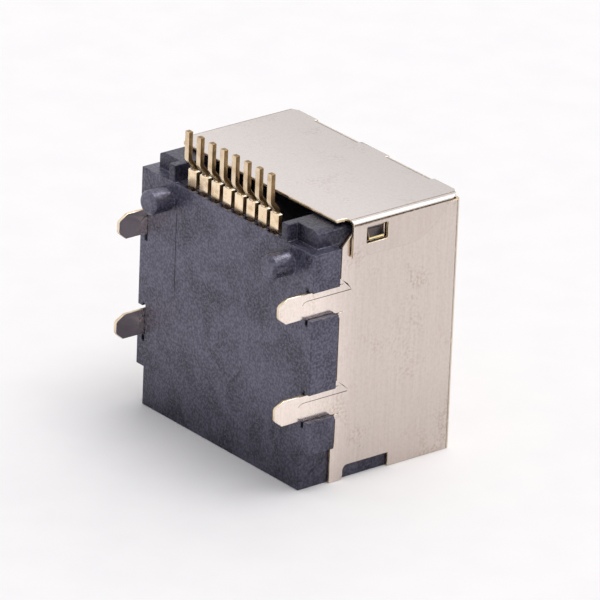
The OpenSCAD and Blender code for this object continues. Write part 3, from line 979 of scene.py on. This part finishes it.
    def crease_outline(self, z: float, ring: PressRing) -> list[Point]:
        """A ring of the pressed field beside a tab's crease.

        Args:
            z: The height of the lower edge of its tab's root.
            ring: How far it is drawn in.

        Returns:
            The ring's points, in Y and Z.
        """
        bottom = z + self.crease_rise - self.crease_w / 2 + ring.low
        top = z + self.crease_rise + self.crease_w / 2 - ring.high
        radius = (top - bottom) / 2
        middle = (top + bottom) / 2
        from_y = self.crease_from + ring.end + radius
        to_y = self.crease_to - ring.end - radius
        return [*arc((from_y, middle), radius, 270, 90, self.crease_steps),
                *arc((to_y, middle), radius, 90, -90, self.crease_steps)]

    def press_crease(self, bm: BMesh, z: float) -> None:
        """Presses the field beside one tab's crease: a sharp drop along its top, a soft rise below.

        Args:
            bm: The sheet.
            z: The height of the lower edge of its tab's root.
        """
        before: list[BMEdge] = []
        line_end = self.crease_to - self.crease_w / 2
        for number, ring in enumerate(self.crease_rings):
            edges = loop_edges(bm, Plane.YZ, self.panel_x, self.crease_outline(z, ring))
            verts = {v for e in edges for v in e.verts}
            foot_z = min(v.co.z for v in verts)
            tall = max(v.co.z for v in verts) - foot_z
            for vert in verts:
                share = (vert.co.z - foot_z) / tall
                depth = self.crease_depth * min(1.0, max(0.0, (line_end - vert.co.y) / self.crease_w))
                vert.co.x = self.panel_x - depth * (ring.foot + (ring.top - ring.foot) * share ** 2)
            if before:
                for face in bmesh.ops.bridge_loops(bm, edges=before + edges)["faces"]:
                    middle = face.calc_center_median()
                    on_line = middle.z > foot_z + self.crease_line * tall and middle.y < line_end
                    # Only the outermost band is steep enough to show as a line, which is drawn dark as
                    # painted shade
                    part = SheetPart.CREASE if number == 1 and on_line else SheetPart.PANEL
                    face.material_index = part.value
            before = edges
        for face in bmesh.ops.edgenet_fill(bm, edges=before)["faces"]:
            face.material_index = SheetPart.PANEL.value

    def spin_bend(self, bm: BMesh, edges: Sequence[BMEdge], centre: Place, axis: Place,
                  parts: tuple[SheetPart, SheetPart, SheetPart], far: int = 1) -> list[BMEdge]:
        """Bends the sheet on from some edges, through a right angle.

        Args:
            bm: The sheet.
            edges: The edges along the bend's near side.
            centre: A point on the bend's axis.
            axis: The direction of the axis.
            parts: The finish of the bend's first chord, of its middle and of its far side, painted
                reflections among them.
            far: How many chords the far side takes.

        Returns:
            The edges along the bend's far side.
        """
        step = math.radians(90) / self.bend_steps
        last = list(edges)
        for number in range(self.bend_steps):
            made = bmesh.ops.spin(bm, geom=last, cent=centre, axis=axis, angle=step, steps=1,
                                  use_merge=False, use_duplicate=False)
            last = [g for g in made["geom_last"] if isinstance(g, BMEdge)]
            part = parts[0] if number == 0 else parts[2] if number >= self.bend_steps - far else parts[1]
            for face in {f for e in last for f in e.link_faces}:
                face.material_index = part.value
        return last

    def draw_wrap(self, bm: BMesh) -> None:
        """Draws the side panel, the long bend and half the far panel.

        Args:
            bm: The sheet.
        """
        fields = [self.crease_outline(z, self.crease_rings[0]) for z in self.tabs_z]
        fill(bm, Plane.YZ, self.panel_x, self.panel_outline(), [self.slot_outline(), *fields])
        for z in self.tabs_z:
            self.press_crease(bm, z)
        self.draw_tongue(bm)
        side = edges_along(bm, Plane.XY, (self.panel_x, self.far_bend))
        self.spin_bend(bm, side, (self.panel_bend, self.far_bend, 0.0), (0.0, 0.0, 1.0),
                       (SheetPart.BEND_LINE, SheetPart.PANEL, SheetPart.WARM_BEND), self.warm_steps)
        fill(bm, Plane.XZ, self.far_y, self.far_outline())

    def draw_tongue(self, bm: BMesh) -> None:
        """Draws the latch tongue, which springs out from the upper end of its slot.

        Args:
            bm: The sheet.
        """
        root = edges_along(bm, Plane.XZ, (self.panel_x, self.tongue_top), self.tongue_y,
                           self.tongue_y + self.tongue_w)
        length = self.tongue_top - self.tongue_low
        for down, out in self.tongue_bends:
            made = bmesh.ops.extrude_edge_only(bm, edges=root)["geom"]
            root = [g for g in made if isinstance(g, BMEdge)]
            for vert in {v for e in root for v in e.verts}:
                vert.co.z = self.tongue_top - length * down
                vert.co.x = self.panel_x + self.tongue_out * out
            # The tongue is drawn dark as painted shade, and its last fold bright as a painted highlight
            part = SheetPart.LATCH_LIP if down == 1.0 else SheetPart.CREASE
            for face in {f for e in root for f in e.link_faces}:
                face.material_index = part.value

    def draw_lip(self, bm: BMesh) -> None:
        """Draws the lip that is folded over the port face.

        Args:
            bm: The sheet.
        """
        root = edges_along(bm, Plane.YZ, (self.far_y, self.bend_r), self.lip_x, self.lip_x + self.lip_w)
        plain = (SheetPart.BEND_LINE, SheetPart.PANEL, SheetPart.PANEL)
        last = self.spin_bend(bm, root, (0.0, self.far_bend, self.bend_r), (-1.0, 0.0, 0.0), plain)
        made = bmesh.ops.extrude_edge_only(bm, edges=last)["geom"]
        length = self.far_bend - (self.far_y - self.sheet - self.lip_len)
        bmesh.ops.translate(bm, verts=[g for g in made if isinstance(g, BMVert)], vec=(0.0, -length, 0.0))

    def draw_cover(self, bm: BMesh) -> None:
        """Draws half the rear cover with its fold, its side bend and its flap.

        Args:
            bm: The sheet.
        """
        root = edges_along(bm, Plane.YZ, (self.far_y, self.fold_z), self.fold_from, self.fold_to)
        self.spin_bend(bm, root, (0.0, self.far_y - self.fold_r, self.fold_z), (1.0, 0.0, 0.0),
                       (SheetPart.PANEL, SheetPart.PANEL, SheetPart.BEND_LINE))
        fill(bm, Plane.XY, self.cover_z, self.cover_outline(), part=SheetPart.COVER)
        side = edges_along(bm, Plane.XZ, (self.flap_bend, self.cover_z), self.flap_y, self.corner_y)
        self.spin_bend(bm, side, (self.flap_bend, 0.0, self.rear_bend), (0.0, 1.0, 0.0),
                       (SheetPart.BEND_LINE, SheetPart.COVER, SheetPart.BEND_LINE), self.flap_line_steps)
        # The bend narrows from the cover's corner to the flap's end
        for vert in bm.verts:
            if vert.co.x > self.flap_bend + MERGE and near(vert.co.y, self.corner_y):
                share = (vert.co.z - self.rear_bend) / self.bend_r
                vert.co.y = self.flap_end + share * (self.corner_y - self.flap_end)
        fill(bm, Plane.YZ, self.flap_x, self.flap_outline(), [self.window_outline()], SheetPart.FLAP)

    def build(self) -> list[Object]:
        """Makes the shell as one folded sheet."""
        bm = bmesh.new()
        self.draw_wrap(bm)
        self.draw_lip(bm)
        self.draw_cover(bm)
        bmesh.ops.remove_doubles(bm, verts=bm.verts, dist=MERGE)
        bmesh.ops.mirror(bm, geom=bm.verts[:] + bm.edges[:] + bm.faces[:], matrix=Matrix.Identity(4),
                         merge_dist=MERGE, axis="X")
        bmesh.ops.remove_doubles(bm, verts=bm.verts, dist=MERGE)
        bmesh.ops.recalc_face_normals(bm, faces=bm.faces)
        cover = max(bm.faces, key=lambda f: f.calc_center_median().z)
        if cover.normal.z < 0:
            bmesh.ops.reverse_faces(bm, faces=bm.faces)
        into_frame(bm)
        cut = ShearedEdge().material()
        materials = [SHEET_FINISHES[part].material() for part in SheetPart] + [cut for _ in SheetPart]
        shell = self.enter(bm, self.name, materials, Slot.SHELL, "shell")
        wall = shell.modifiers.new("sheet", "SOLIDIFY")
        wall.thickness = self.sheet * MM
        wall.offset = -1.0
        wall.use_even_offset = False
        wall.use_rim = True
        wall.material_offset_rim = len(SheetPart)
        self.soften(shell, self.edge_round, self.edge_angle)
        shell.modifiers["edges"].loop_slide = False
        return [shell]


@dataclass
class Moulding(Piece):
    """A moulded piece: its solid's own form with the rounded edges that a mould leaves."""

    node: str
    slot: Slot
    finish: Finish
    edge_round: float = 0.05
    edge_angle: float = 28.0
    flat_angle: float = 0.5

    def build(self) -> list[Object]:
        """Makes the moulded piece from a copy of its solid."""
        bm = bmesh.new()
        bm.from_mesh(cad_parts[self.node].data)
        bmesh.ops.remove_doubles(bm, verts=bm.verts, dist=MERGE * MM)
        bmesh.ops.dissolve_limit(bm, angle_limit=math.radians(self.flat_angle), verts=bm.verts,
                                 edges=bm.edges, use_dissolve_boundaries=False)
        piece = self.enter(bm, self.name, [self.finish.material()], self.slot, self.node)
        self.soften(piece, self.edge_round, self.edge_angle)
        return [piece]


STRIP_FINISHES: dict[StripPart, GoldPlate] = {
    StripPart.PLATED: GoldPlate(),
    StripPart.SHEARED: GoldPlate("gold_sheared", (0.36, 0.24, 0.12), (0.16, 0.10, 0.05), (0.26, 0.42)),
    # The tops of the teeth, near white as a painted highlight
    StripPart.BURNISHED: GoldPlate("gold_tooth_top_highlight", (1.0, 0.93, 0.76), (0.92, 0.78, 0.55), (0.30, 0.45)),
}


class StripBender:
    """Bends a stamped strip step by step, as a forming tool does, from its first cut face."""

    def __init__(self, width: float, thickness: float, start: Vector, heading: float) -> None:
        """Starts with the cut face.

        Args:
            width: The strip's width, along X.
            thickness: Its thickness.
            start: The middle of the face.
            heading: Where the strip goes, in degrees from +Z towards +Y.
        """
        self.bm = bmesh.new()
        self.thickness = thickness
        self.centre = start.copy()
        self.heading = math.radians(heading)
        made = bmesh.ops.create_grid(self.bm, x_segments=1, y_segments=1, size=0.5)
        bmesh.ops.scale(self.bm, verts=made["verts"], vec=(width, thickness, 1.0))
        turn = Matrix.Rotation(-self.heading, 3, "X")
        bmesh.ops.rotate(self.bm, verts=made["verts"], cent=(0, 0, 0), matrix=turn)
        bmesh.ops.translate(self.bm, verts=made["verts"], vec=start)
        self.bm.faces.ensure_lookup_table()
        self.first = self.bm.faces[0]
        self.face = self.first

    @property
    def ahead(self) -> Vector:
        """The direction that the strip goes in."""
        return Vector((0.0, math.sin(self.heading), math.cos(self.heading)))

    def grow(self) -> None:
        """Draws the next cut face out of the last one, of which only the very first stays behind."""
        last = self.face
        made = bmesh.ops.extrude_face_region(self.bm, geom=[last])["geom"]
        self.face = next(g for g in made if isinstance(g, BMFace))
        if last is not self.first:
            bmesh.ops.delete(self.bm, geom=[last], context="FACES_ONLY")

    def run(self, length: float) -> "StripBender":
        """Goes straight on.

        Args:
            length: How far.

        Returns:
            The bender itself, for the next step.
        """
        self.grow()
        bmesh.ops.translate(self.bm, verts=self.face.verts[:], vec=self.ahead * length)
        self.centre += self.ahead * length
        return self

    def turn(self, angle: float, inside: float, steps: int) -> "StripBender":
        """Bends the strip.

        Args:
            angle: How far, in degrees: above 0 it turns towards +Y from +Z.
            inside: The bend's inside radius.
            steps: How many chords it has.

        Returns:
            The bender itself, for the next step.
        """
        across = Vector((0.0, math.cos(self.heading), -math.sin(self.heading)))
        side = across if angle > 0 else -across
        pivot = self.centre + side * (inside + self.thickness / 2)
        step = math.radians(angle) / steps
        for _ in range(steps):
            self.grow()
            turn = Matrix.Rotation(-step, 3, "X")
            bmesh.ops.rotate(self.bm, verts=self.face.verts[:], cent=pivot, matrix=turn)
            self.centre = pivot + turn @ (self.centre - pivot)
            self.heading += step
        return self

    def widen(self, ratio: float, length: float = 0.0) -> "StripBender":
        """Goes on with another width, at once or along a taper.

        Args:
            ratio: The new width over the old one.
            length: The taper's length.

        Returns:
            The bender itself, for the next step.
        """
        self.run(length)
        space = Matrix.Translation(-self.centre)
        bmesh.ops.scale(self.bm, verts=self.face.verts[:], vec=(ratio, 1.0, 1.0), space=space)
        return self

    def done(self) -> BMesh:
        """Closes the strip.

        Returns:
            The strip as a closed mesh.
        """
        bmesh.ops.remove_doubles(self.bm, verts=self.bm.verts, dist=MERGE / 5)
        bmesh.ops.recalc_face_normals(self.bm, faces=self.bm.faces)
        self.bm.normal_update()
        return self.bm


@dataclass
class ContactRow(Piece):
    """The eight contacts: stamped strips with a nose, a spring arm, a pressed-in tooth and a tail."""

    name: str = "contact"
    count: int = 8
    pitch: float = 1.02
    thickness: float = 0.28
    arm_w: float = 0.46
    tooth_w: float = 0.72
    tail_w: float = 0.36
    face_y: float = 0.35
    tooth_start: float = 13.48
    tooth_taper: float = 0.25
    tooth_end: float = 14.93
    tail_len: float = 2.37
    tail_step: float = 0.44
    tail_bend: float = 38.0
    tail_r: float = 0.25
    tip_chamfer: float = 0.03
    nose_z: float = 2.37
    nose_r: float = 0.36
    arm_slope: float = 10.5
    arm_run: float = 9.2
    arm_tip_bend: float = 14.0
    arm_tip_r: float = 0.6
    arm_tip_run: float = 0.8
    tail_flat: float = 0.02
    tail_steps: int = 5
    nose_steps: int = 16
    tip_steps: int = 3
    edge_round: float = 0.022
    edge_angle: float = 35.0

    def strip(self, x: float) -> BMesh:
        """Bends one contact.

        Args:
            x: The middle of its width.

        Returns:
            The contact as a closed mesh.
        """
        middle = self.face_y + self.thickness / 2
        bend = math.radians(self.tail_bend)
        radii = 2 * self.tail_r + self.thickness
        slant = (self.tail_step - radii * (1 - math.cos(bend))) / math.sin(bend)
        straight = self.tail_len - radii * math.sin(bend) - slant * math.cos(bend) - self.tail_flat
        # The tip of the tail first, then down the tail and over the step to the tooth
        start = Vector((x, middle - self.tail_step, self.tooth_end + self.tail_len))
        tip_w = self.tail_w - 2 * self.tip_chamfer
        bender = StripBender(tip_w, self.thickness, start, 180.0)
        bender.widen(self.tail_w / tip_w, 2 * self.tip_chamfer)
        bender.run(straight - 2 * self.tip_chamfer)
        bender.turn(-self.tail_bend, self.tail_r, self.tail_steps).run(slant)
        bender.turn(self.tail_bend, self.tail_r, self.tail_steps).run(self.tail_flat)
        bender.widen(self.tooth_w / self.tail_w).run(self.tooth_end - self.tooth_start - self.tooth_taper)
        bender.widen(self.arm_w / self.tooth_w, self.tooth_taper).run(self.tooth_start - self.nose_z)
        bender.turn(self.arm_slope - 180, self.nose_r, self.nose_steps).run(self.arm_run)
        bender.turn(-self.arm_tip_bend, self.arm_tip_r, self.tip_steps).run(self.arm_tip_run)
        return bender.done()

    def part_of(self, face: BMFace) -> StripPart:
        """Finds the finish of one face of a contact.

        Args:
            face: The face.

        Returns:
            Sheared for its sides and its tip, a painted highlight for the top of its tooth, otherwise plated.
        """
        square_on = 0.7
        if face.normal.z > square_on and near(face.calc_center_median().z, self.tooth_end, 0.05):
            return StripPart.BURNISHED
        sheared = max(abs(face.normal.x), face.normal.z) > square_on
        return StripPart.SHEARED if sheared else StripPart.PLATED

    def build(self) -> list[Object]:
        """Makes the eight contacts."""
        gold = [STRIP_FINISHES[part].material() for part in StripPart]
        made = []
        for number in range(1, self.count + 1):
            x = (number - (self.count + 1) / 2) * self.pitch
            bm = self.strip(x)
            for face in bm.faces:
                face.material_index = self.part_of(face).value
            into_frame(bm)
            piece = self.enter(bm, f"contact_strip_{number}", gold, Slot.CONTACT, f"contact_{number}")
            self.soften(piece, self.edge_round, self.edge_angle)
            made.append(piece)
        return made


@dataclass(frozen=True)
class Eye:
    """The camera, solved from the photograph: its aim in degrees, its place from the board face."""

    azimuth: float = 50.536
    elevation: float = 23.384
    roll: float = -2.333
    position: Place = (307.888, -248.188, 179.864)
    lens: float = 480.0
    sensor: float = 36.0
    reach: Span = (0.01, 10.0)

    def make(self) -> None:
        """Makes the scene's camera."""
        data = bpy.data.cameras.new("eye")
        data.lens = self.lens
        data.sensor_width = self.sensor
        data.clip_start, data.clip_end = self.reach
        camera = add_object("eye", data)
        x, y, z = self.position
        camera.location = Vector((x, y + BOARD_Y, z)) * MM
        tilt = Euler((math.radians(90 - self.elevation), 0.0, math.radians(self.azimuth)), "XYZ").to_matrix()
        camera.rotation_euler = (tilt @ Matrix.Rotation(math.radians(-self.roll), 3, "Z")).to_euler()
        bpy.context.scene.camera = camera


@dataclass(frozen=True)
class Lamp:
    """A broad soft light far away: its aim, how wide it looks and how strong it is."""

    name: str
    azimuth: float
    elevation: float
    softness: float
    strength: float
    mirrored: bool = True
    colour: Colour = (1.0, 0.985, 0.965)

    def hang(self) -> None:
        """Hangs the lamp."""
        light = bpy.data.lights.new(self.name, "SUN")
        light.energy = self.strength
        light.angle = math.radians(self.softness)
        light.color = self.colour
        lamp = add_object(self.name, light)
        lamp.rotation_euler = (math.radians(90 - self.elevation), 0.0, math.radians(self.azimuth))
        lamp.visible_glossy = self.mirrored


@dataclass(frozen=True)
class Card:
    """A card beside the jack that only shiny surfaces see.

    Its width and height and the place of its middle, measured from the frame's origin, are in
    millimetres, and its turn about X, Y and Z is in degrees.
    """

    name: str
    size: Point
    turn: Place
    middle: Place
    cloth: CardCloth

    def stand(self) -> None:
        """Stands the card in the studio."""
        bm = bmesh.new()
        bmesh.ops.create_grid(bm, x_segments=1, y_segments=1, size=0.5)
        bmesh.ops.scale(bm, verts=bm.verts, vec=(*self.size, 1.0))
        turn = Euler([math.radians(angle) for angle in self.turn], "XYZ").to_matrix()
        bmesh.ops.rotate(bm, verts=bm.verts, cent=(0.0, 0.0, 0.0), matrix=turn)
        bmesh.ops.translate(bm, verts=bm.verts, vec=self.middle)
        bmesh.ops.scale(bm, verts=bm.verts, vec=(MM, MM, MM))
        card = add_mesh(bm, self.name, [self.cloth.material()])
        card.visible_camera = False
        card.visible_diffuse = False
        card.visible_shadow = False


@dataclass
class Studio:
    """The pale floor, the bright room, its soft lamps and its cards.

    The dark flag stands low behind the jack's right side. The softbox hangs above it and gives bends
    and rounded edges their white lines.
    """

    floor_reach: float = 3000.0
    room_fill: float = 0.60
    room_tint: Colour = (0.98, 0.98, 1.0)
    key: Lamp = Lamp("key", 138.0, 74.0, 34.0, 1.14)
    back: Lamp = Lamp("back", 212.0, 44.0, 50.0, 0.43, mirrored=False)
    flag: Card = Card("flag", (260.0, 66.0), (90.0, 0.0, -54.0), (240.0, 170.0, 36.0),
                      CardCloth("flag_cloth", (0.04, 0.035, 0.03), 1.0, 0.0))
    softbox: Card = Card("softbox", (220.0, 130.0), (46.0, 0.0, 145.0), (124.0, 177.0, 208.0),
                         CardCloth("softbox_cloth", WHITE, 0.5, 0.5, glow=1.45))

    def make_floor(self) -> None:
        """Lays the floor under the jack."""
        bm = bmesh.new()
        bmesh.ops.create_grid(bm, x_segments=1, y_segments=1, size=self.floor_reach * MM)
        add_mesh(bm, "floor", [TablePaper().material()])

    def make_room(self) -> None:
        """Makes the room: white where it is seen or mirrored, and a plain fill for matt surfaces."""
        world = bpy.data.worlds.new("room")
        bpy.context.scene.world = world
        graph = Graph(world)
        rays = graph.add("ShaderNodeLightPath").outputs
        seen = graph.math("MAXIMUM", rays["Is Camera Ray"], rays["Is Glossy Ray"])
        seen = graph.math("MAXIMUM", seen, rays["Is Transmission Ray"])
        dim = graph.add("ShaderNodeBackground", {"Color": self.room_tint, "Strength": self.room_fill})
        bright = graph.add("ShaderNodeBackground", {"Color": WHITE, "Strength": 1.0})
        mix = graph.add("ShaderNodeMixShader", {0: seen, 1: dim.outputs[0], 2: bright.outputs[0]})
        graph.add("ShaderNodeOutputWorld", {"Surface": mix.outputs[0]})

    def build(self) -> None:
        """Sets up the whole studio."""
        bpy.context.scene.view_settings.view_transform = "Standard"
        self.make_floor()
        self.make_room()
        self.key.hang()
        self.back.hang()
        self.flag.stand()
        self.softbox.stand()
        Eye().make()


def main() -> None:
    """Sets up the studio, dresses the jack and reports each piece."""
    logging.basicConfig(level=logging.INFO, format="%(name)s: %(message)s")
    Studio().build()
    housing = MouldedPlastic("housing_plastic_finish", seam=Seam())
    carrier = MouldedPlastic("carrier_plastic_finish", (0.028, 0.028, 0.036), (0.06, 0.058, 0.07))
    assemblies: list[Piece] = [
        Moulding("housing_moulding", "housing", Slot.HOUSING, housing),
        Moulding("carrier_moulding", "contact_carrier", Slot.CARRIER, carrier, edge_round=0.03),
        ContactRow(),
        FoldedShell(),
    ]
    for assembly in assemblies:
        for piece in assembly.build():
            LOG.info("%s: %d faces in its mesh", piece.name, len(piece.data.polygons))


if __name__ == "__main__":
    main()
